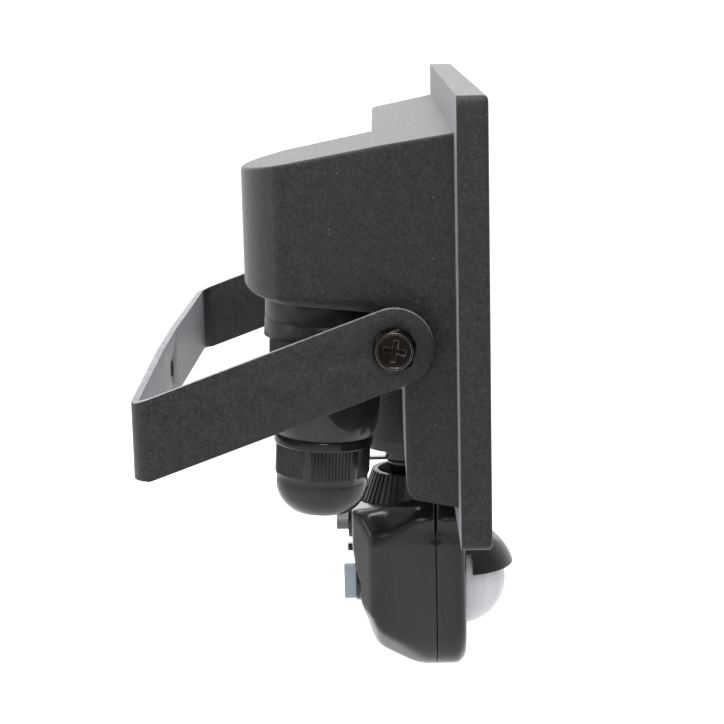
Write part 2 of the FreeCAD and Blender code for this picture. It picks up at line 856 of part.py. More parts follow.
def pivotScrew(body):
    seat = "springWasherThick + faceGap"
    pad(body, hexagon(sketch(body, "XY_Plane", seat), "hexAcross"), "hexHeight")
    top = seat + " + hexHeight"
    grooved(
        body,
        [
            ("hexAcross / 2 - hexChamfer", top),
            ("hexAcross", top + " - hexAcross / 2 - hexChamfer"),
            ("hexAcross", top),
        ],
    )
    cut(body, circle(sketch(body, "XY_Plane", top), "0", "0", "hexDish / 2"), "dishDepth")
    shank = sketch(body, "XY_Plane", "-(stripThickness + faceGap + frictionWasherThick + screwGrip)")
    circle(shank, "0", "0", "screwThread / 2")
    pad(body, shank, seat + " + stripThickness + faceGap + frictionWasherThick + screwGrip")
    for width, length in (("crossWide", "crossLong"), ("crossLong", "crossWide")):
        slot = sketch(body, "XY_Plane", top)
        box(slot, "-%s / 2" % width, "-%s / 2" % length, width + " / 2", length + " / 2")
        cut(body, slot, "dishDepth + crossDeep")


def springWasher(body):
    ring = sketch(body, "XY_Plane", "faceGap")
    circle(ring, "0", "0", "springWasherWide / 2")
    circle(ring, "0", "0", "screwThread / 2 + 2 * faceGap")
    pad(body, ring, "springWasherThick")
    split = sketch(body, "XY_Plane", "faceGap + springWasherThick")
    box(split, "-springWasherSplit / 2", "-springWasherWide", "springWasherSplit / 2", "0")
    cut(body, split, "springWasherThick")


def frictionWasher(body):
    ring = sketch(body, "XY_Plane", "-(stripThickness + faceGap + frictionWasherThick)")
    circle(ring, "0", "0", "frictionWasherWide / 2")
    circle(ring, "0", "0", "screwThread / 2 + 2 * faceGap")
    pad(body, ring, "frictionWasherThick")


# Cable connector, along its own axis: z = 0 is the floor of the bulge and the cable leaves at -z.
def pinSpots(radius):
    turns = (90, 210, 330)
    return [("pinCircle * cos(%d)" % turn, "pinCircle * sin(%d)" % turn, radius) for turn in turns]


def connector():
    socket = newBody("connector_socket", CONNECTOR, "connectorTilt")
    tip = "-(collarLong + nippleLong)"
    turned(
        socket,
        [
            ("0", tip),
            ("nipple / 2", tip),
            ("nipple / 2", "-collarLong"),
            ("collarWide / 2", "-collarLong"),
            ("collarWide / 2", "0"),
            ("spigotWide / 2", "0"),
            ("spigotWide / 2", "spigotLong"),
            ("wireBore / 2", "spigotLong"),
            ("wireBore / 2", tip + " + nippleEnd"),
            ("0", tip + " + nippleEnd"),
        ],
    )
    holes = sketch(socket, "XY_Plane", tip)
    for across, up, radius in pinSpots("pinWide / 2 + faceGap"):
        circle(holes, across, up, radius)
    cut(socket, holes, "nippleEnd", True)
    pins = []
    for across, up, radius in pinSpots("pinWide / 2"):
        foot = FreeCAD.Vector(value(across), value(up), value(tip + " + nippleEnd - pinLong"))
        pins.append(Part.makeCylinder(value(radius), value("pinLong"), foot))
    group("contact_pins", pins, CONNECTOR, "connectorTilt")
    plug()
    gland()


def plug():
    body = newBody("plug_body", CONNECTOR, "connectorTilt")
    top = "-(collarLong + faceGap)"
    foot = "-(collarLong + faceGap + plugLong)"
    skirt = circle(sketch(body, "XY_Plane", top + " - skirtLong"), "0", "0", "collarWide / 2")
    pad(body, skirt, "skirtLong")
    loft(
        body,
        hexagon(sketch(body, "XY_Plane", top + " - skirtLong"), "hexTop"),
        hexagon(sketch(body, "XY_Plane", foot), "hexBottom"),
    )
    neck = circle(sketch(body, "XY_Plane", foot + " - neckLong"), "0", "0", "neckWide / 2")
    pad(body, neck, "neckLong")
    grooved(
        body,
        [
            ("coneBottom", foot),
            ("collarWide", foot),
            ("collarWide", foot + " + coneLong"),
            ("coneTop", foot + " + coneLong"),
        ],
    )
    deep = tuple(
        "-(collarLong + nippleLong + %s)" % part
        for part in ("2 * blockGap", "blockLong + 3 * blockGap")
    )
    mouth = foot + " - neckLong"
    grooved(
        body,
        [
            ("0", mouth),
            ("sealWide / 2 + faceGap", mouth),
            ("sealWide / 2 + faceGap", foot),
            ("sealBore / 2 + cableClear", foot),
            ("sealBore / 2 + cableClear", deep[1]),
            ("blockWide / 2 + faceGap", deep[1]),
            ("blockWide / 2 + faceGap", deep[0]),
            ("nipple / 2 + runningGap", deep[0]),
            ("nipple / 2 + runningGap", top),
            ("0", top),
        ],
    )
    block = newBody("contact_block", CONNECTOR, "connectorTilt")
    face = circle(sketch(block, "XY_Plane", deep[1]), "0", "0", "blockWide / 2")
    for across, up, radius in pinSpots("pinWide / 2 + 2 * faceGap"):
        circle(face, across, up, radius)
    pad(block, face, "blockLong")


def gland():
    top = "-(collarLong + 2 * faceGap + plugLong)"
    seal = newBody("gland_seal", CONNECTOR, "connectorTilt")
    ring = circle(sketch(seal, "XY_Plane", "-(collarLong + faceGap + plugLong + sealLong)"), "0", "0", "sealWide / 2")
    circle(ring, "0", "0", "sealBore / 2")
    pad(seal, ring, "sealLong")
    nut = newBody("gland_nut", CONNECTOR, "connectorTilt")
    end = top + " - glandLong"
    step = top + " - glandBand"
    rounding = "glandWide / 2 - glandStep"
    recess = "glandWide / 2 - panelDeep"
    turned(
        nut,
        [
            ("sealBore / 2 + cableClear", end),
            ("glandMouth / 2", end, "glandRound"),
            (rounding, step + " - glandStep"),
            (rounding, step),
            (recess, step),
            (recess, top + " - glandRing"),
            ("glandWide / 2", top + " - glandRing"),
            ("glandWide / 2", top),
            ("neckWide / 2 + runningGap", top),
            ("neckWide / 2 + runningGap", top + " - glandThread"),
            ("sealBore / 2 + cableClear", top + " - glandThread"),
        ],
    )
    bar = sketch(nut, "XY_Plane", step)
    box(bar, "glandWide / 2 - 2 * panelDeep", "-panelGap / 2", "glandWide / 2", "panelGap / 2")
    around(nut, pad(nut, bar, "glandBand - glandRing"), "panelCount")


# Ball joint: foot under the lamp, liner and lock ring. The ball centre is the origin.
def sphere(body, radius):
    grooved(body, [("0", "-(%s)" % radius, radius), (radius, "0", radius), ("0", radius)])


def ballJoint():
    foot = newBody("sensor_foot", HEAD)
    ball = "ballWide / 2"
    turned(
        foot,
        [
            ("0", "-" + ball, ball),
            ("neckRoot", "sqrt(ballWide * ballWide / 4 - neckRoot * neckRoot)"),
            ("neckRadius", "stopRise - 0.7"),
            ("neckRadius", "stopRise"),
            ("neckRadius + 0.6", "stopRise + stopThick"),
            ("neckRadius + 0.6", "footTop - footThick"),
            ("footWide / 2", "footTop - footThick"),
            ("footWide / 2", "footTop"),
            ("footStub / 2", "footTop"),
            ("footStub / 2", "footTop + footStubLong"),
            ("0", "footTop + footStubLong"),
        ],
    )
    flat = sketch(foot, "XY_Plane", "footTop")
    box(flat, "-footWide", "-footWide", "footWide", "2 * faceGap - ballSetback")
    cut(foot, flat, "footThick")
    stop = sketch(foot, "XY_Plane", "stopRise")
    box(stop, "-stopWide / 2", "0", "stopWide / 2", "stopLong")
    pad(foot, stop, "stopThick")
    liner = newBody("ball_liner", HEAD)
    outside = "ballWide / 2 + runningGap + linerThick"
    reach = "sqrt((%s) * (%s) - %s * %s)"
    turned(
        liner,
        [
            ("0", "-linerLow"),
            (reach % (outside, outside, "linerLow", "linerLow"), "-linerLow", outside),
            (reach % (outside, outside, "linerHigh", "linerHigh"), "linerHigh"),
            ("0", "linerHigh"),
        ],
    )
    sphere(liner, "ballWide / 2 + runningGap")
    ring = newBody("lock_ring", HEAD)
    turned(
        ring,
        [
            ("collarRadius + runningGap", "-ringFootRise"),
            ("ringFoot", "-ringFootRise"),
            ("ringFoot", "ringFootRise"),
            ("ringTop", "ringTopRise"),
            ("ringRim", "ringTopRise"),
            ("ringLip", "ringTopRise - 3.8"),
            ("ringLip", "collarRise + faceGap"),
            ("collarRadius + runningGap", "collarRise + faceGap"),
        ],
    )
    sphere(ring, socketRadius())
    slot = outline(
        sketch(ring, "XZ_Plane"),
        [
            ("ringFoot - ribDeep", "ringFootRise"),
            ("ringFoot + ribDeep", "ringFootRise"),
            ("ringTop + ribDeep", "ringTopRise"),
            ("ringTop - ribDeep", "ringTopRise"),
        ],
    )
    around(ring, cut(ring, slot, "ribGap", both=True), "ribCount")


def socketRadius():
    return "ballWide / 2 + 2 * runningGap + linerThick"


# Sensor head: two shells that part on a plane facing the front.
def headOutline(drawing, inset="0", top="headTop"):
    side = "headHalf - %s" % inset
    bend = "headCorner - %s" % inset
    sole = "headSole - %s" % inset
    heel = "cornerAcross * (%s) / (headSole - headCorner)" % sole
    low = "soleCentre - sqrt((%s) ^ 2 - (%s) ^ 2)" % (sole, heel)
    shoulder = "-headShoulder - 0.414 * %s" % inset
    crown = "%s - (%s - (%s))" % (side, top, shoulder)
    return outline(
        drawing,
        [
            ("-(%s)" % side, "-cornerDrop", bend),
            ("-(%s)" % heel, low, sole),
            (heel, low, bend),
            (side, "-cornerDrop"),
            (side, shoulder),
            (crown, top),
            ("-(%s)" % crown, top),
            ("-(%s)" % side, shoulder),
        ],
    )


def shoulderEdge(edge):
    corner = edge.Vertexes[0]
    return along(edge, "y") and abs(corner.Z + value("headShoulder")) < 1e-3


def headTopCut(body):
    slope = [
        ("-2 * headFront", "headTop + 5"),
        ("-2 * headFront", "5"),
        ("-headFront", "5"),
        ("-partingFront", "5.5"),
        ("headRear", "1.1"),
        ("2 * headRear", "-2"),
        ("2 * headRear", "headTop + 5"),
    ]
    cut(body, outline(sketch(body, "YZ_Plane"), slope))
    recess = circle(sketch(body, "XY_Plane", "-seatRise"), "0", "0", "ringFoot + knobGap")
    cut(body, recess, "2 * headTop + seatRise", True)


KNOB_SPOTS = (
    ("-timeKnobAcross", "timeKnobDrop", "timeKnobSeat"),
    ("luxKnobAcross", "luxKnobDrop", "luxKnobSeat"),
)


def rearShell():
    body = newBody("sensor_rear_shell", HEAD)
    pad(body, headOutline(sketch(body, "XZ_Plane", "partingFront")), "partingFront + headRear + 1", True)
    rounded(body, "shoulderRound", shoulderEdge)
    back = [
        ("3 * headRear", "-2 * headBottom"),
        ("3 * headRear", "2 * headTop"),
        ("headRear", "2 * headTop"),
        ("headRear", "-kneeDrop"),
        ("headRear - waistIn", "-waistDrop"),
        ("headRear - heelIn", "heelRise - headBottom"),
        ("headRear - soleIn", "-headBottom - soleDrop"),
        ("headRear - soleIn", "-2 * headBottom"),
    ]
    cut(body, outline(sketch(body, "YZ_Plane"), back))
    heel = value("headRear - heelIn")
    rounded(body, "heelRound", lambda edge: along(edge, "x") and abs(edge.BoundBox.YMin - heel) < 1e-3)
    inside = "headHalf - facetWide"
    outside = "headRear - facetDeep"
    corners = [
        [("-headHalf - 1", outside + " - facetDeep / facetWide"), ("-(%s)" % inside, "headRear + 1"), ("-headHalf - 1", "headRear + 1")],
        [("headHalf + 1", outside + " - facetDeep / facetWide"), ("headHalf + 1", "headRear + 1"), (inside, "headRear + 1")],
    ]
    for wedge in corners:
        cut(body, outline(sketch(body, "XY_Plane"), wedge))
    side = value("headHalf")
    rounded(body, "facetRound", lambda edge: along(edge, "z") and abs(abs(edge.Vertexes[0].X) - side) < 1e-3 and edge.Vertexes[0].Y > 0)
    headTopCut(body)
    pad(body, circle(sketch(body, "XY_Plane", "-seatRise"), "0", "0", "collarRadius"), "collarRise + seatRise")
    sphere(body, socketRadius())
    room = box(sketch(body, "XZ_Plane", "partingFront"), "-headHalf + 4", "-34", "headHalf - 4", "-13")
    cut(body, room, "partingFront + 9")
    for across, drop, seat in KNOB_SPOTS:
        recess = circle(sketch(body, "XZ_Plane", "-(%s)" % seat), across, "-" + drop, "knobWide / 2 + knobGap")
        cut(body, recess, "headRear")


def frontShell():
    body = newBody("sensor_front_shell", HEAD)
    pad(body, headOutline(sketch(body, "XZ_Plane", "headFront")), "headFront - partingFront", True)
    rounded(body, "shoulderRound", shoulderEdge)
    headTopCut(body)
    front = -value("headFront") + 1e-3
    low = -value("cornerDrop") + 1e-3
    rounded(body, "soleEdge", lambda edge: edge.BoundBox.YMax < front and edge.BoundBox.ZMax < low)
    rounded(body, "headEdge", lambda edge: edge.BoundBox.YMax < front and edge.BoundBox.ZMax > low + 1)
    sphere(body, socketRadius() + " + faceGap")
    room = headOutline(sketch(body, "XZ_Plane", "partingFront"), "headWall", "-seatRise - headWall")
    cut(body, room, "headFront - partingFront - headWall", True)
    hole = circle(sketch(body, "XZ_Plane", "headFront"), "0", "-lensDrop", "lensRadius + runningGap")
    cut(body, hole, "headWall")


LENS = (HEAD[0], HEAD[1], HEAD[2] + " - lensDrop")


def dome():
    lens = newBody("dome_lens", LENS)
    centre = "-lensSetback"
    turned(
        lens,
        [
            ("0", centre + " - lensRadius", "lensRadius"),
            ("lensRadius", centre),
            ("lensRadius", "-headFront + headWall + faceGap"),
            ("lensRadius + lensFlange", "-headFront + headWall + faceGap"),
            ("lensRadius + lensFlange", "-headFront + headWall + faceGap + 1"),
            ("0", "-headFront + headWall + faceGap + 1"),
        ],
        "XY_Plane",
    )
    inner = "lensRadius - lensWall"
    grooved(
        lens,
        [
            ("0", "%s - (%s)" % (centre, inner), inner),
            (inner, centre),
            (inner, "0"),
            ("0", "0"),
        ],
        "XY_Plane",
    )
    hood = newBody("lens_hood", LENS)
    root = "-headFront - faceGap"
    outer = "hoodRadius"
    inner = "hoodRadius - hoodWall"
    reach = "sqrt((%s) * (%s) - (%s - lensSetback) * (%s - lensSetback))"
    back = "headFront + faceGap"
    turned(
        hood,
        [
            ("0", "%s - %s" % (centre, outer), outer),
            (reach % (outer, outer, back, back), root),
            ("0", root),
        ],
        "XY_Plane",
    )
    grooved(
        hood,
        [
            ("0", "%s - (%s)" % (centre, inner), inner),
            (reach % (inner, inner, back, back), root),
            ("0", root),
        ],
        "XY_Plane",
    )
    skirt = outline(
        sketch(hood, "YZ_Plane"),
        [
            ("-3 * lensSetback", "-2 * hoodRadius"),
            ("0", "-2 * hoodRadius"),
            ("0", "hoodRoot"),
            (root + " - hoodSkirt", "hoodRoot"),
            (root + " - hoodSkirt", "hoodDrop"),
            ("-3 * lensSetback", "hoodDrop"),
        ],
    )
    cut(hood, skirt)


def headParts():
    slab(
        "sensor_board",
        "sensorBoardWidth / 2",
        "sensorBoardHeight / 2",
        "partingFront + sensorBoardThick",
        "sensorBoardThick",
        LENS,
    )
    for label, across, up, wide, deep in (
        ("heat_sensor", "0", "0", "canWide", "canDeep"),
        ("light_sensor", "sensorBoardWidth / 4", "-sensorBoardHeight / 3", "eyeWide", "eyeDeep"),
    ):
        body = newBody(label, LENS)
        face = circle(sketch(body, "XZ_Plane", "partingFront + sensorBoardThick"), across, up, wide + " / 2")
        pad(body, face, deep)


def knobs():
    turns = (("time_knob", "0"), ("lux_knob", "luxKnobTurn"))
    for (label, angle), (across, drop, seat) in zip(turns, KNOB_SPOTS):
        frame = (across, HEAD[1] + " + " + seat, HEAD[2] + " - " + drop)
        body = newBody(label, frame)
        turn = FreeCAD.Rotation(FreeCAD.Vector(0, 1, 0), value(angle))
        body.Placement = FreeCAD.Placement(body.Placement.Base, turn)
        for axis, part in zip("xyz", frame):
            body.setExpression(".Placement.Base." + axis, bound(part))
        pad(body, circle(sketch(body, "XZ_Plane", "-faceGap"), "0", "0", "knobWide / 2"), "knobDeep - faceGap", True)
        bar = box(sketch(body, "XZ_Plane", "-knobDeep"), "-knobBar / 2", "-knobBarLong / 2", "knobBar / 2", "knobBarLong / 2")
        pad(body, bar, "knobGrip", True)
        rounded(body, "knobBar / 2 - 0.05", lambda edge: along(edge, "y") and edge.BoundBox.YMin > value("knobDeep") - 1e-3)


def build():
    wallBracket()
    lampHousing()
    lightUnit()
    lightChips()
    boardScrewGroup()
    driver()
    pivotSet("left", "-")
    pivotSet("right", "")
    connector()
    ballJoint()
    rearShell()
    frontShell()
    dome()
    headParts()
    knobs()


def check():
    doc.recompute()
    for part in doc.Objects:
        if "Invalid" in part.State or "Error" in part.State:
            raise ValueError(part.Name + " failed")
    pieces = [part for part in doc.Objects if part.TypeId in ("PartDesign::Body", "Part::Feature")]
    for piece in pieces:
        if piece.Shape.isNull() or not piece.Shape.isValid():
            raise ValueError(piece.Label + " has no valid shape")
    return pieces


build()
os.makedirs("parts", exist_ok=True)
for piece in check():
    piece.Shape.exportStep("parts/%s.step" % piece.Label)
    print(piece.Label, len(piece.Shape.Solids), len(piece.Shape.Faces))
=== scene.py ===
import json
import math
import bpy
import bmesh
from mathutils import Matrix, Vector


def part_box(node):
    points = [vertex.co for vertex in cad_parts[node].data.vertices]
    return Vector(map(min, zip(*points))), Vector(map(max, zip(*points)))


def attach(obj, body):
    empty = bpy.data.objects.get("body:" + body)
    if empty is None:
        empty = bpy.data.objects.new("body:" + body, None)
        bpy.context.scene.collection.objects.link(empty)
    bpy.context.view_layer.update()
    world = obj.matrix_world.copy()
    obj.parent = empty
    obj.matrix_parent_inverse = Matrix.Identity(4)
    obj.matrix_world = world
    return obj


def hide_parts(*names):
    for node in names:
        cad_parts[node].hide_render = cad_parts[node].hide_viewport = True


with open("model.json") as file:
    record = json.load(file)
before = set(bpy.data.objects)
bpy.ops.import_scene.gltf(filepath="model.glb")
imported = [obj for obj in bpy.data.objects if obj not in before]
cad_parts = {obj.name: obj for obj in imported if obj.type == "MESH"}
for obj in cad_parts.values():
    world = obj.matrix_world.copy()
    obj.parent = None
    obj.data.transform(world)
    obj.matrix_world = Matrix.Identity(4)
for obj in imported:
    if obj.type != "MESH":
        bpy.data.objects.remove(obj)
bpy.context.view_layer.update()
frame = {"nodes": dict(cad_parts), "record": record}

nodes = frame["nodes"]
scene = bpy.context.scene
print("frame loaded:", len(nodes), "nodes")


# A socket that sums can be written with: each sum adds its Math node.
class Value:
    def __init__(self, paint, socket):
        self.paint = paint
        self.socket = socket

    def sum(self, operation, *others):
        return self.paint.node("ShaderNodeMath", {"operation": operation}, dict(enumerate(others)))

    def __add__(self, other):
        return self.sum("ADD", self, other)

    def __sub__(self, other):
        return self.sum("SUBTRACT", self, other)

    def __rsub__(self, other):
        return self.sum("SUBTRACT", other, self)

    def __mul__(self, other):
        return self.sum("MULTIPLY", self, other)

    __radd__ = __add__
    __rmul__ = __mul__

    def sine(self):
        return self.sum("SINE", self)

    # 0 below low, 1 above high and a soft step between them
    def step(self, low, high):
        settings = {"interpolation_type": "SMOOTHSTEP"}
        return self.paint.node("ShaderNodeMapRange", settings, {"Value": self, "From Min": low, "From Max": high})

    # noise stays near 0.5, so this brings it to the full range
    def full(self):
        return self.step(0.3, 0.7)


# A material under way. node() adds any node: its settings first, then its sockets.
class Paint:
    def __init__(self, owner):
        self.owner = owner if isinstance(owner, bpy.types.World) else bpy.data.materials.new(owner)
        self.owner.use_nodes = True
        self.tree = self.owner.node_tree
        self.tree.nodes.clear()

    def node(self, kind, settings=None, sockets=None, out=0):
        made = self.tree.nodes.new(kind)
        for name, setting in (settings or {}).items():
            setattr(made, name, setting)
        for name, given in (sockets or {}).items():
            if isinstance(given, Value):
                self.tree.links.new(given.socket, made.inputs[name])
            else:
                made.inputs[name].default_value = given
        return Value(self, made.outputs[out])

    def place(self, centre=(0, 0, 0), stretch=(1, 1, 1)):
        spot = self.node("ShaderNodeTexCoord", out="Object")
        shifted = self.node("ShaderNodeVectorMath", {"operation": "SUBTRACT"}, {0: spot, 1: centre})
        return self.node("ShaderNodeMapping", {"vector_type": "POINT"}, {"Vector": shifted, "Scale": stretch})

    def parts(self, spot):
        split = self.node("ShaderNodeSeparateXYZ", None, {"Vector": spot})
        return [Value(self, split.socket.node.outputs[name]) for name in "XYZ"]

    def noise(self, scale, detail=2.0, rough=0.5, spot=None):
        sockets = {"Vector": spot or self.place(), "Scale": scale, "Detail": detail, "Roughness": rough}
        return self.node("ShaderNodeTexNoise", None, sockets, "Fac")

    # Small dots, one in each cell that the chance keeps. A dot is full up to half its size.
    def dots(self, scale, size, chance):
        settings = {"feature": "F1"}
        sockets = {"Vector": self.place(), "Scale": scale}
        near = self.node("ShaderNodeTexVoronoi", settings, sockets, "Distance")
        tint = self.node("ShaderNodeTexVoronoi", settings, sockets, "Color")
        lot = self.node("ShaderNodeSeparateColor", None, {"Color": tint}, "Red")
        return (1 - near.step(size * 0.5, size)) * lot.step(1 - chance, 1 - chance + 0.02)

    def mix(self, share, low, high):
        sockets = {"Factor": share, 6: low, 7: high}  # 6 and 7 are the two colours
        return self.node("ShaderNodeMix", {"data_type": "RGBA"}, sockets, 2)

    def bump(self, height, strength, depth):
        return self.node("ShaderNodeBump", None, {"Height": height, "Strength": strength, "Distance": depth})

    def close(self, kind, surface):
        out = self.tree.nodes.new(kind)
        self.tree.links.new(surface.socket, out.inputs["Surface"])
        return self.owner

    def finish(self, sockets):
        surface = self.node("ShaderNodeBsdfPrincipled", None, sockets)
        return self.close("ShaderNodeOutputMaterial", surface)


def grey(level, blue=1.0):
    return (level, level, level * blue, 1)


def shaded(colour, share=1.0):
    return tuple(channel * share for channel in colour[:3]) + (1,)


# Dots are given as scale, size and the share of cells that have one.
powderCoat = {
    "dark": 0.006,
    "light": 0.027,
    "blue": 1.09,
    "grain": 1250,
    "blotch": 330,
    "blotchShare": 0.25,
    "speckle": 0.2,
    "speckleBlue": 1.03,
    "fineDots": (950, 0.15, 0.2),
    "fineShare": 0.35,
    "coarseDots": (620, 0.12, 0.06),
    "rough": 0.46,
    "grainRough": 0.12,
    "dotsRough": 0.1,
    "bump": 0.00016,
    "bumpStrength": 0.9,
    "bloom": 0.2,
    "bloomRough": 0.35,
    "bloomTint": (0.93, 0.92, 1.0, 1),
    "ior": 1.34,
}


# A fine sandy coat with small pale specks. The bloom is what it shows at a flat angle.
def powderFinish(name="powderCoat", pale=1.0):
    paint = Paint(name)
    coat = powderCoat
    grain = paint.noise(coat["grain"], detail=2, rough=0.6)
    blotch = paint.noise(coat["blotch"], detail=3, rough=0.6)
    sand = grain.full()
    shade = sand * (1 - coat["blotchShare"]) + blotch.full() * coat["blotchShare"]
    base = paint.mix(shade, grey(coat["dark"] * pale, coat["blue"]), grey(coat["light"] * pale, coat["blue"]))
    specks = paint.dots(*coat["fineDots"]) * coat["fineShare"] + paint.dots(*coat["coarseDots"])
    return paint.finish({
        "Base Color": paint.mix(specks, base, grey(coat["speckle"], coat["speckleBlue"])),
        "Roughness": coat["rough"] + coat["grainRough"] * sand - coat["dotsRough"] * specks,
        "Normal": paint.bump(grain + specks * 0.5, coat["bumpStrength"], coat["bump"]),
        "Sheen Weight": coat["bloom"],
        "Sheen Roughness": coat["bloomRough"],
        "Sheen Tint": coat["bloomTint"],
        "IOR": coat["ior"],
    })


mouldedPlastic = {
    "blue": 1.12,
    "dark": 0.55,
    "light": 1.5,
    "grain": 1500,
    "grainRough": 0.05,
    "wave": 55,
    "waveDeep": 0.00012,
    "waveRough": 0.06,
    "flow": 120,
    "flowShare": 0.7,
    "flowStretch": (1, 1, 0.2),
    "bumpStrength": 0.5,
    "barEdge": 0.0002,
    "ior": 1.38,
}


# Moulded plastic is never quite flat: a slow wave bends its reflections.
# A bar is where its paler tone starts along y, and that tone: a painted reflection.
def plasticFinish(name, rough, base, bump=0.08, bar=None):
    paint = Paint(name)
    moulded = mouldedPlastic
    grain = paint.noise(moulded["grain"])
    wave = paint.noise(moulded["wave"], detail=1, rough=0.4)
    flowSpot = paint.place(stretch=moulded["flowStretch"])
    flow = paint.noise(moulded["flow"], detail=1, rough=0.4, spot=flowSpot)
    dark, light = (grey(base * moulded[key], moulded["blue"]) for key in ("dark", "light"))
    shade = grain.full() * (1 - moulded["flowShare"]) + flow.full() * moulded["flowShare"]
    tone = paint.mix(shade, dark, light)
    if bar:
        start, paintedReflectionTone = bar
        along = paint.parts(paint.place())[1]
        tone = paint.mix(along.step(start, start + moulded["barEdge"]), tone, paintedReflectionTone)
    return paint.finish({
        "Base Color": tone,
        "Roughness": rough + moulded["waveRough"] * (wave - 0.5) + moulded["grainRough"] * (grain - 0.5),
        "Normal": paint.bump(grain * bump + wave, moulded["bumpStrength"], moulded["waveDeep"]),
        "IOR": moulded["ior"],
    })


plainMetal = {"grainRough": 0.14, "bumpStrength": 0.5, "wearScale": 9}


def metalFinish(name, colour, rough, scale, bump, worn=0.72):
    paint = Paint(name)
    grain = paint.noise(scale, detail=3, rough=0.6)
    wear = paint.noise(scale / plainMetal["wearScale"])
    return paint.finish({
        "Base Color": paint.mix(wear.full(), shaded(colour, worn), shaded(colour)),
        "Metallic": 1.0,
        "Roughness": rough + plainMetal["grainRough"] * (grain - 0.5),
        "Normal": paint.bump(grain, plainMetal["bumpStrength"], bump),
    })


milkyLens = {
    "light": (0.66, 0.64, 0.68),
    "dark": (0.58, 0.56, 0.6),
    "line": (0.42, 0.4, 0.44),
    "lineShare": 0.16,
    "lineDeep": 0.00005,
    "lineStrength": 0.2,
    "segments": 18,
    "segmentEdge": (0.9, 1.0),
    "rings": 900,
    "ringEdge": (0.93, 1.0),
    "ringShare": 0.6,
    "cloud": 90,
    "rough": 0.3,
    "lineRough": 0.1,
    "glow": 0.25,
    "glowReach": (0.003, 0.003, 0.003),
    "ior": 1.5,
}


# The fine lines of its Fresnel fields run round the dome and down it.
def lensFinish():
    paint = Paint("milkyLens")
    lens = milkyLens
    low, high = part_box("dome_lens")
    centre = ((low.x + high.x) / 2, high.y, (low.z + high.z) / 2)
    x, y, z = paint.parts(paint.place(centre))
    turn = paint.node("ShaderNodeMath", {"operation": "ARCTAN2"}, {0: x, 1: 0 - y})
    columns = (turn * lens["segments"]).sine()
    rows = (z * lens["rings"]).sine()
    lines = columns.step(*lens["segmentEdge"]) + rows.step(*lens["ringEdge"]) * lens["ringShare"]
    cloud = paint.noise(lens["cloud"], detail=1, rough=0.4)
    tone = paint.mix(cloud.full(), shaded(lens["dark"]), shaded(lens["light"]))
    return paint.finish({
        "Base Color": paint.mix(lines * lens["lineShare"], tone, shaded(lens["line"])),
        "Roughness": lens["rough"] + lens["lineRough"] * lines,
        "Normal": paint.bump(lines * -1, lens["lineStrength"], lens["lineDeep"]),
        "Subsurface Weight": lens["glow"],
        "Subsurface Radius": lens["glowReach"],
        "Subsurface Scale": 1.0,
        "IOR": lens["ior"],
    })


clearGlass = {"tone": (0.95, 0.98, 0.98, 1), "haze": 60, "rough": 0.02, "hazeRough": 0.03, "ior": 1.45}


def glassFinish():
    paint = Paint("clearGlass")
    haze = paint.noise(clearGlass["haze"], detail=3)
    return paint.finish({
        "Base Color": clearGlass["tone"],
        "Roughness": clearGlass["rough"] + clearGlass["hazeRough"] * haze,
        "Transmission Weight": 1.0,
        "IOR": clearGlass["ior"],
    })


circuitBoard = {
    "grain": 900,
    "grainRough": 0.2,
    "tracks": 540,
    "trackEdge": (0.55, 0.7),
    "dark": 0.92,
    "rough": 0.35,
    "ior": 1.5,
}


# Track is the tone of the copper under the coat, and mask is how far it shows.
def boardFinish(name, colour, track, mask):
    paint = Paint(name)
    board = circuitBoard
    x, z = paint.parts(paint.place())[::2]
    grain = paint.noise(board["grain"])
    rows = ((x * board["tracks"]).sine() * (z * board["tracks"]).sine()).step(*board["trackEdge"])
    tone = paint.mix(grain.full(), colour, shaded(colour, board["dark"]))
    return paint.finish({
        "Base Color": paint.mix(rows * mask, tone, track),
        "Roughness": board["rough"] + board["grainRough"] * grain,
        "IOR": board["ior"],
    })


chipPhosphor = {
    "dark": (0.82, 0.62, 0.12, 1),
    "light": (0.88, 0.72, 0.22, 1),
    "grain": 5000,
    "grainRough": 0.1,
    "rough": 0.3,
    "coat": 0.3,
}


def chipFinish():
    paint = Paint("chipPhosphor")
    grain = paint.noise(chipPhosphor["grain"])
    return paint.finish({
        "Base Color": paint.mix(grain.full(), chipPhosphor["dark"], chipPhosphor["light"]),
        "Roughness": chipPhosphor["rough"] + chipPhosphor["grainRough"] * grain,
        "Coat Weight": chipPhosphor["coat"],
    })


knobPlastic = {"rough": 0.22, "base": 0.012}
finishes = {
    "powder_coat": powderFinish(),
    "satin_black": plasticFinish("satinPlastic", rough=0.33, base=0.013),
    "gloss_black": plasticFinish("glossPlastic", rough=0.2, base=0.011),
    "dark_zinc": metalFinish("darkZinc", (0.014, 0.011, 0.01), rough=0.36, scale=900, bump=0.00003),
    "clear_glass": glassFinish(),
    "milky_lens": lensFinish(),
    "seal_rubber": plasticFinish("sealRubber", rough=0.7, base=0.02, bump=0.4),
    "reflector_metal": metalFinish(
        "reflectorMetal", (0.84, 0.84, 0.85), rough=0.24, scale=1500, bump=0.00002, worn=0.96
    ),
    "board_white": boardFinish("lightBoard", (0.8, 0.81, 0.79, 1), track=(0.62, 0.64, 0.62, 1), mask=0.5),
    "chip_yellow": chipFinish(),
    "board_green": boardFinish("driverBoard", (0.03, 0.16, 0.07, 1), track=(0.09, 0.3, 0.14, 1), mask=0.8),
    "nylon_grey": plasticFinish("greyNylon", rough=0.45, base=0.1),
    "brass_pin": metalFinish("brassPin", (0.72, 0.52, 0.22), rough=0.25, scale=900, bump=0.00002),
    "knob_grey": plasticFinish("knobPlastic", **knobPlastic),
}
# pale zinc for the pivot screws' bevelled rims and cross edges: a painted highlight
wornRim = metalFinish("wornRim", (0.3, 0.285, 0.28), rough=0.28, scale=900, bump=0.00003)
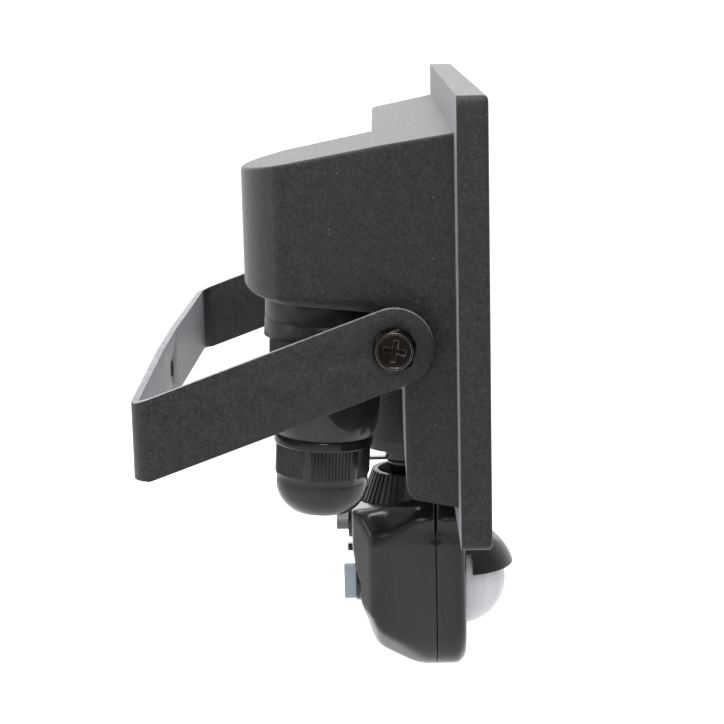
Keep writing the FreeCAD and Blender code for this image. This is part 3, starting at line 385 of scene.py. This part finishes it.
paintedEdgeHighlights = {  # the second finish of a piece, paler on its bevelled edges: a painted highlight
    # the bracket's edges: powder coat painted ten times paler, a painted highlight
    "wall_bracket": powderFinish("powderCoatEdge", pale=10.0),
    "pivot_screw_left": wornRim,
    "pivot_screw_right": wornRim,
}
for node in nodes.values():
    for slot in node.material_slots:
        slot.material = finishes[slot.material.name.split(".")[0]]
print("finishes:", len(finishes))

# From here on: pieces that stand for plainer CAD nodes.
joints = {joint["name"]: joint for joint in frame["record"]["behaviour"]["joints"]}
cableMount = [mount for mount in frame["record"]["mounts"] if mount["name"] == "cable_entry"][0]
ballCentre = Vector(joints["sensor_pan"]["pos_m"])
sideways = Vector((1, 0, 0))
backward = Vector((0, 1, 0))
weldGap = 0.000002  # metres
flatAngle = 1  # degrees: faces that differ by less become one


def placed(name, data):
    made = bpy.data.objects.new(name, data)
    scene.collection.objects.link(made)
    return made


def meshOf(name, bm):
    mesh = bpy.data.meshes.new(name)
    bm.to_mesh(mesh)
    bm.free()
    return mesh


def weldedCopy(node):
    bm = bmesh.new()
    bm.from_mesh(nodes[node].data)
    bmesh.ops.remove_doubles(bm, verts=bm.verts, dist=weldGap)
    return bm


# the given edges, bevelled round
def bevelled(bm, edges, width, segments):
    return bmesh.ops.bevel(
        bm, geom=edges, offset=width, segments=segments, profile=0.5, affect="EDGES", material=-1, clamp_overlap=True
    )


def addPiece(name, bm, body, slot, standsFor=None, material=None, sharp=40):
    for face in bm.faces:
        face.smooth = True
    mesh = meshOf(name, bm)
    mesh.set_sharp_from_angle(angle=math.radians(sharp))
    mesh.materials.append(material or finishes[slot])
    piece = placed(name, mesh)
    if standsFor:
        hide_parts(standsFor)
    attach(piece, body)
    return piece


# The CAD shape with its sharp edges broken, so that they catch the light.
# Each has its body, its slot, the width in metres and the angle from which an edge counts as sharp.
brokenEdges = {
    "wall_bracket": ("bracket", "powder_coat", 0.00035, 30),
    "connector_socket": ("lamp", "satin_black", 0.0002, 60),
    "plug_body": ("plug", "satin_black", 0.0004, 20),
    "lens_hood": ("head", "gloss_black", 0.00025, 40),
    "time_knob": ("time_dial", "knob_grey", 0.0003, 40),
    "lux_knob": ("lux_dial", "knob_grey", 0.0003, 40),
    "pivot_screw_left": ("lamp", "dark_zinc", 0.00012, 40),
    "pivot_screw_right": ("lamp", "dark_zinc", 0.00012, 40),
}

# the bar across a knob: how deep it stands and its paler tone, a painted reflection of light on its flat face,
# lighter on the near time knob than on the far light level knob
knobBarPaintedReflection = {
    "deep": 0.0036,
    "time_knob": (0.27, 0.31, 0.35, 1),
    "lux_knob": (0.14, 0.15, 0.16, 1),
}

stripEdge = {"mostSideways": 0.85, "leastUpright": 0.6, "armStart": -0.03}


# the narrow cut edge of the strip, painted paler: a painted highlight where the edge would catch the light
def cutEdge(face):
    if abs(face.normal.x) >= stripEdge["mostSideways"]:
        return False
    return abs(face.normal.z) > stripEdge["leastUpright"] or face.center.y < stripEdge["armStart"]


# The connector's outside is a little slimmer than in CAD, and it parts higher up.
connector = {
    "axis": Vector(joints["plug_pull"]["axis"]),
    "foot": Vector(joints["gland_turn"]["pos_m"]),
    "core": 0.0145,
    "slim": 0.055,
    "fadeLong": 0.03,
    "fadeStart": 0.3,
    "parting": -0.0417,
    "partingReach": 0.0006,
    "lift": 0.0013,
}


def slimmed(bm):
    axis = connector["axis"]
    for vert in bm.verts:
        away = vert.co - connector["foot"]
        drop = away.dot(axis)
        out = away - axis * drop
        if out.length < connector["core"]:
            continue
        fade = min(1, max(0, -drop / connector["fadeLong"] - connector["fadeStart"]))
        vert.co -= out * connector["slim"] * fade
        if abs(drop - connector["parting"]) < connector["partingReach"]:
            vert.co -= axis * connector["lift"]


def breakEdges(node, body, slot, width, angle):
    bm = weldedCopy(node)
    bmesh.ops.dissolve_limit(bm, angle_limit=math.radians(flatAngle), verts=bm.verts, edges=bm.edges)
    if node in ("connector_socket", "plug_body"):
        slimmed(bm)
    sharp = [edge for edge in bm.edges if edge.is_manifold and edge.calc_face_angle() > math.radians(angle)]
    made = bevelled(bm, sharp, width, segments=2)
    # the bevel faces take the paler second finish: a painted edge highlight
    if node in paintedEdgeHighlights:
        for face in made["faces"]:
            face.material_index = 1
    finish = None
    # the knob's bar gets its paler tone: a painted reflection
    if node in knobBarPaintedReflection:
        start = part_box(node)[1].y - knobBarPaintedReflection["deep"]
        finish = plasticFinish(node + "Plastic", **knobPlastic, bar=(start, knobBarPaintedReflection[node]))
    piece = addPiece(node + "Soft", bm, body, slot, node, finish)
    if node in paintedEdgeHighlights:
        piece.data.materials.append(paintedEdgeHighlights[node])
    # on the bracket the strip's narrow cut edges take that paler finish: a painted highlight
    if node == "wall_bracket":
        for face in piece.data.polygons:
            face.material_index = int(cutEdge(face))


for node, (body, slot, width, angle) in brokenEdges.items():
    breakEdges(node, body, slot, width, angle)
print("broken edges:", len(brokenEdges))


# small block with rounded edges: its middle, size and the directions of its width and depth
def block(name, middle, size, wide, deep, body, slot, rounding):
    bm = bmesh.new()
    bmesh.ops.create_cube(bm, size=1)
    bmesh.ops.scale(bm, vec=size, verts=bm.verts)
    bevelled(bm, bm.edges, rounding, segments=3)
    turn = Matrix((wide, deep, wide.cross(deep))).transposed().to_4x4()
    bmesh.ops.transform(bm, matrix=Matrix.Translation(middle) @ turn, verts=bm.verts)
    addPiece(name, bm, body, slot)


# Latch of the plug: a raised nose beside a dark window.
# Each has its turn from the rear to the near side, its size, its slot and its rounding.
latch = {
    "radius": 0.0167,
    "drop": -0.0411,
    "nose": (12, (0.0085, 0.0014, 0.0026), "gloss_black", 0.0005),
    "window": (39, (0.003, 0.0007, 0.0029), "seal_rubber", 0.0002),
}
rearward = (-sideways).cross(connector["axis"]).normalized()
for name in ("nose", "window"):
    turn, size, slot, rounding = latch[name]
    turn = math.radians(turn)
    deep = rearward * math.cos(turn) - sideways * math.sin(turn)
    middle = connector["foot"] + connector["axis"] * latch["drop"] + deep * latch["radius"]
    block("latch" + name.capitalize(), middle, size, deep.cross(connector["axis"]), deep, "plug", slot, rounding)

# the stop below the light level knob, from the ball's centre
knobStop = {"place": Vector((0.006, 0.0176, -0.0162)), "size": (0.003, 0.0032, 0.0022), "rounding": 0.0005}
block(
    "luxKnobStop", ballCentre + knobStop["place"], knobStop["size"], sideways, backward,
    "head", "gloss_black", knobStop["rounding"]
)
print("latch and stop ready")

# Gland nut in millimetres: points are reach and drop from its top face.
glandNut = {
    "overSeal": 4.45,
    "collar": [(10.06, 0), (13.05, 0), (13.4, 0.12), (13.5, 0.45), (13.5, 2.3), (13.3, 2.55)],
    "band": [(13.12, 2.75), (13.12, 10.3)],
    "step": [(12.95, 10.9), (12.6, 11.7)],
    "domeCentre": (3.18, 13.21),
    "domeRadius": 9.5,
    "domeFrom": -3,
    "domeTo": 59.5,
    "domeSpans": 9,
    "mouth": [(7.7, 21.4), (4.75, 21.4), (4.4, 21.1), (4.4, 11.0), (10.06, 11.0)],
    "panels": 6,
    "edgeTurn": 17.5,
    "flat": 0.045,
    "flatEnd": 17,
    "flatFade": 6,
    "boreReach": 8,
    "collarEnd": 2.6,
    "domeEnd": 20,
    "ribs": 14,
    "ribSteps": 3,
    "ribDeep": 0.3,
    "ribEnd": 10.5,
    "ribMargin": 2,
}


def nutProfile():
    nut = glandNut
    across, drop = nut["domeCentre"]
    radius, spans = nut["domeRadius"], nut["domeSpans"]
    turns = [math.radians(nut["domeFrom"] + (nut["domeTo"] - nut["domeFrom"]) * i / spans) for i in range(spans + 1)]
    dome = [(across + radius * math.cos(turn), drop + radius * math.sin(turn)) for turn in turns]
    return nut["collar"] + nut["band"] + nut["step"] + dome + nut["mouth"]


# One profile spun round, then ribs pressed into its band and the panels flattened a little.
def ribbedNut():
    nut = glandNut
    bm = bmesh.new()
    points = [bm.verts.new((across, 0, -drop)) for across, drop in nutProfile()]
    edges = [bm.edges.new(pair) for pair in zip(points, points[1:] + points[:1])]
    panelSteps = nut["ribs"] * nut["ribSteps"]
    steps = nut["panels"] * panelSteps
    bmesh.ops.spin(
        bm, geom=points + edges, cent=(0, 0, 0), axis=(0, 0, 1), angle=math.tau, steps=steps, use_merge=True
    )
    panel = math.tau / nut["panels"]
    for vert in bm.verts:
        reach = math.hypot(vert.co.x, vert.co.y)
        drop = -vert.co.z
        if reach < nut["boreReach"] or drop < nut["collarEnd"] or drop > nut["domeEnd"]:
            continue
        turn = (math.atan2(vert.co.y, vert.co.x) + panel / 2) % panel - panel / 2
        place = round((turn + panel / 2) / math.tau * steps)
        fade = min(1, max(0, (nut["flatEnd"] - drop) / nut["flatFade"]))
        pressed = 1 - nut["flat"] * fade * (1 - (2 * turn / panel) ** 2)
        inBand = drop < nut["ribEnd"] and nut["ribMargin"] < place < panelSteps - nut["ribMargin"]
        if inBand and place % nut["ribSteps"]:
            pressed -= nut["ribDeep"] / reach
        vert.co.x *= pressed
        vert.co.y *= pressed
    axis = Vector(cableMount["axis"])
    spot = Vector(cableMount["pos_m"]) - axis * nut["overSeal"] / 1000
    lean = Vector((0, 0, -1)).rotation_difference(axis).to_matrix().to_4x4()
    phase = Matrix.Rotation(math.pi - math.radians(nut["edgeTurn"]) + panel / 2, 4, "Z")
    bmesh.ops.transform(bm, matrix=Matrix.Translation(spot) @ lean @ Matrix.Scale(0.001, 4) @ phase, verts=bm.verts)
    bmesh.ops.recalc_face_normals(bm, faces=bm.faces)
    addPiece("glandNutRibbed", bm, "gland", "gloss_black", "gland_nut", sharp=28)


ribbedNut()
print("gland nut ready")

# The head's shells as moulded: their outer edges are rounded off, and their seats stay crisp.
# Lengths are millimetres from the ball's centre, the voxel metres.
mouldedHead = {
    "voxel": 0.00045,
    "evening": 2,
    "rounding": 16,
    "parting": -7.5,
    "partingReach": 0.9,
    # planes that take off the lower rear corners: a point and the way out
    "heels": [((15, 8.56, -41.9), (0.6, 0.378, -0.706)), ((17, 10.31, -38.7), (0.34, 0.858, -0.387))],
    "heelRounding": 90,
    "heelBehind": -4,
    "heelBelow": -30,
    # y: (height of the shoulder line, height and reach of the top edge)
    "shoulder": {
        7.5: (-4.1, 2.8, 16.9),
        -2: (0.7, 4.5, 20.2),
        -7.36: (0.8, 5.4, 19.4),
        -7.64: (0.8, 5.4, 19.4),
        -15.3: (0.7, 4.9, 19.8),
    },
    "shoulderRounding": 60,
    "shoulderPast": 15,
    "shoulderAbove": -7,
    # the shoulder's wedge: its outer side, its inner side and how far that lies below and within
    "wedge": {"side": 24, "inner": 23.2, "below": 5.2, "within": 6, "under": 0.9},
    # what stays crisp: the lock ring's seat (radius, from this height), the ball's socket (radius),
    # rooms (lowest and highest corner) and round seats (x, z, radius, from this y)
    "ringSeat": (16.2, -1.6),
    "socket": 11.5,
    "rooms": [((-20.9, -8, -34.9), (20.9, 9.9, -12.1)), ((-21.6, -14.5, -48), (21.6, -7.4, -1))],
    "knobSeats": [(-12, -21.6, 7, 11), (6, -7.1, 7, 13)],
    "lensSeat": (0, -24.6, 15.6, -13),
}


def fromBall(vert):
    return (vert.co - ballCentre) * 1000


def keepsShape(spot):
    x, y, z = spot
    radius, low = mouldedHead["ringSeat"]
    if math.hypot(x, y) < radius and z > low or math.hypot(x, y, z) < mouldedHead["socket"]:
        return True
    for least, most in mouldedHead["rooms"]:
        if all(low < at < high for low, at, high in zip(least, spot, most)):
            return True
    for across, up, radius, start in mouldedHead["knobSeats"]:
        if math.hypot(x - across, z - up) < radius and y > start:
            return True
    across, up, radius, start = mouldedHead["lensSeat"]
    return math.hypot(x - across, z - up) < radius and y < start


# Fills the side chamfer up to the high shoulder line, which drops to the rear in a slanted facet.
def raiseShoulder(bm, side, ends):
    edge, wedge = mouldedHead["shoulder"], mouldedHead["wedge"]
    for back, front in ends:
        spots = []
        for along, (line, top, over) in ((back, edge[back]), (front, edge[front])):
            spots += [
                (wedge["side"], along, line),
                (over, along, top),
                (wedge["inner"], along, line - wedge["below"]),
                (over - wedge["within"], along, top - wedge["under"]),
            ]
        corners = [bm.verts.new(ballCentre + Vector((side * x, y, z)) / 1000) for x, y, z in spots]
        made = bmesh.ops.convex_hull(bm, input=corners, use_existing_faces=False)
        bmesh.ops.delete(bm, geom=made["geom_interior"], context="VERTS")


# the mesh remade of even squares
def evened(bm, name):
    holder = placed(name, meshOf(name, bm))
    remesh = holder.modifiers.new("even", "REMESH")
    remesh.mode = "VOXEL"
    remesh.voxel_size = mouldedHead["voxel"]
    bpy.context.view_layer.update()
    even = bpy.data.meshes.new_from_object(holder.evaluated_get(bpy.context.evaluated_depsgraph_get()))
    bpy.data.objects.remove(holder)
    bm = bmesh.new()
    bm.from_mesh(even)
    return bm


def cutHeels(verts):
    for point, way in mouldedHead["heels"]:
        for vert in verts:
            spot = fromBall(vert)
            way = Vector((math.copysign(way[0], spot.x), way[1], way[2]))
            over = (spot - Vector((math.copysign(point[0], spot.x), point[1], point[2]))).dot(way)
            if over > 0:
                vert.co -= way * over / 1000


def mouldedShell(node, name, ends):
    head = mouldedHead
    bm = weldedCopy(node)
    for side in (-1, 1):
        raiseShoulder(bm, side, ends)
    bm = evened(bm, name + "Rough")
    outer = [vert for vert in bm.verts if not keepsShape(fromBall(vert))]
    away = [vert for vert in outer if abs(fromBall(vert).y - head["parting"]) > head["partingReach"]]
    cutHeels(outer)
    spots = [(vert, fromBall(vert)) for vert in outer]
    heel = [vert for vert, spot in spots if spot.z < head["heelBelow"] and spot.y > head["heelBehind"]]
    shoulder = [vert for vert, spot in spots if abs(spot.x) > head["shoulderPast"] and spot.z > head["shoulderAbove"]]
    rounds = (
        (outer, head["evening"], True),
        (away, head["rounding"], True),
        (heel, head["heelRounding"], True),
        (shoulder, head["shoulderRounding"], False),
    )
    for chosen, times, along in rounds:
        for _ in range(times):
            bmesh.ops.smooth_vert(bm, verts=chosen, factor=0.5, use_axis_x=True, use_axis_y=along, use_axis_z=True)
    addPiece(name, bm, "head", "gloss_black", node, sharp=60)


mouldedShell("sensor_rear_shell", "rearShellMoulded", [(7.5, -2), (-2, -7.36)])
mouldedShell("sensor_front_shell", "frontShellMoulded", [(-7.64, -15.3)])
print("sensor head ready")

# Floor, light and camera. Spans along x run from the camera's side (-1) to behind the object (1).
studio = {
    "floorLevel": -0.27,
    "floorSize": 8.0,
    "floorTone": 0.7,
    "floorLift": 0.55,
    "behind": 1.5,
    "behindSpan": (-0.2, 0.95),
    "around": 0.7,
    "cameraSide": 0.25,
    "cameraSpan": (-0.95, -0.1),
}


# 1 for what the camera sees, itself or in gloss and glass
def straightRays(paint):
    path = paint.node("ShaderNodeLightPath", out="Is Camera Ray")
    for name in ("Is Glossy Ray", "Is Transmission Ray"):
        path = path.sum("MAXIMUM", path, paint.node("ShaderNodeLightPath", out=name))
    return path


def floorPlane():
    bm = bmesh.new()
    bmesh.ops.create_grid(bm, x_segments=1, y_segments=1, size=studio["floorSize"])
    bmesh.ops.translate(bm, vec=(0, 0, studio["floorLevel"]), verts=bm.verts)
    floor = placed("floor", meshOf("floor", bm))
    paint = Paint("paleFloor")
    plain = paint.node("ShaderNodeBsdfDiffuse", None, {"Color": grey(studio["floorTone"])})
    lift = {"Color": grey(1), "Strength": straightRays(paint) * studio["floorLift"]}
    both = paint.node("ShaderNodeAddShader", None, {0: plain, 1: paint.node("ShaderNodeEmission", None, lift)})
    floor.data.materials.append(paint.close("ShaderNodeOutputMaterial", both))


# bright behind the object, soft on the camera's own side
def surroundings():
    scene.world = bpy.data.worlds.new("studio")
    paint = Paint(scene.world)
    x = paint.parts(paint.node("ShaderNodeTexCoord", out="Generated"))[0]
    level = studio["cameraSide"] + (studio["around"] - studio["cameraSide"]) * x.step(*studio["cameraSpan"])
    level = level + (studio["behind"] - studio["around"]) * x.step(*studio["behindSpan"])
    back = paint.node("ShaderNodeBackground", None, {"Color": grey(1), "Strength": level})
    paint.close("ShaderNodeOutputWorld", back)


softBoxes = {
    "topSoftBox": {"place": (-0.2, 0.05, 0.9), "target": (0, -0.04, 0), "size": (0.35, 0.5), "power": 7},
    "shoulderSoftBox": {"place": (-0.95, -0.1, 0.45), "target": (0, -0.05, 0), "size": (0.3, 0.6), "power": 4},
    "rearSoftBox": {"place": (-0.3, 0.7, 0.3), "target": (0, 0, 0), "size": (0.25, 0.7), "power": 1.3},
    "backSoftBox": {"place": (1.1, -0.1, 0.5), "target": (0, -0.06, 0.03), "size": (1.6, 0.7), "power": 6},
}


def softBox(name, place, target, size, power):
    lamp = bpy.data.lights.new(name, "AREA")
    lamp.shape = "RECTANGLE"
    lamp.size, lamp.size_y = size
    lamp.energy = power
    made = placed(name, lamp)
    made.location = place
    made.rotation_euler = (Vector(target) - Vector(place)).to_track_quat("-Z", "Y").to_euler()
    made.visible_camera = False


# turns are radians, the lens and its sensor millimetres
photoCamera = {
    "place": (-0.551814, -0.065765, 0.109755),
    "yaw": 0.0112,
    "pitch": 0.1938,
    "roll": -0.0229,
    "lens": 92.43,
    "sensor": 36,
    "clipStart": 0.01,
}


def photoView():
    yaw, pitch, roll = (photoCamera[key] for key in ("yaw", "pitch", "roll"))
    forward = Vector((math.cos(pitch) * math.cos(yaw), math.cos(pitch) * math.sin(yaw), -math.sin(pitch)))
    right = Vector((math.sin(yaw), -math.cos(yaw), 0))
    up = right.cross(forward)
    across = math.cos(roll) * right + math.sin(roll) * up
    above = math.cos(roll) * up - math.sin(roll) * right
    camera = placed("photoCamera", bpy.data.cameras.new("photoCamera"))
    turn = Matrix((across, above, -forward)).transposed().to_4x4()
    camera.matrix_world = Matrix.Translation(photoCamera["place"]) @ turn
    camera.data.lens = photoCamera["lens"]
    camera.data.sensor_width = photoCamera["sensor"]
    camera.data.clip_start = photoCamera["clipStart"]
    scene.camera = camera


floorPlane()
surroundings()
for name, settings in softBoxes.items():
    softBox(name, **settings)
photoView()
scene.view_settings.view_transform = "Standard"
print("studio ready")
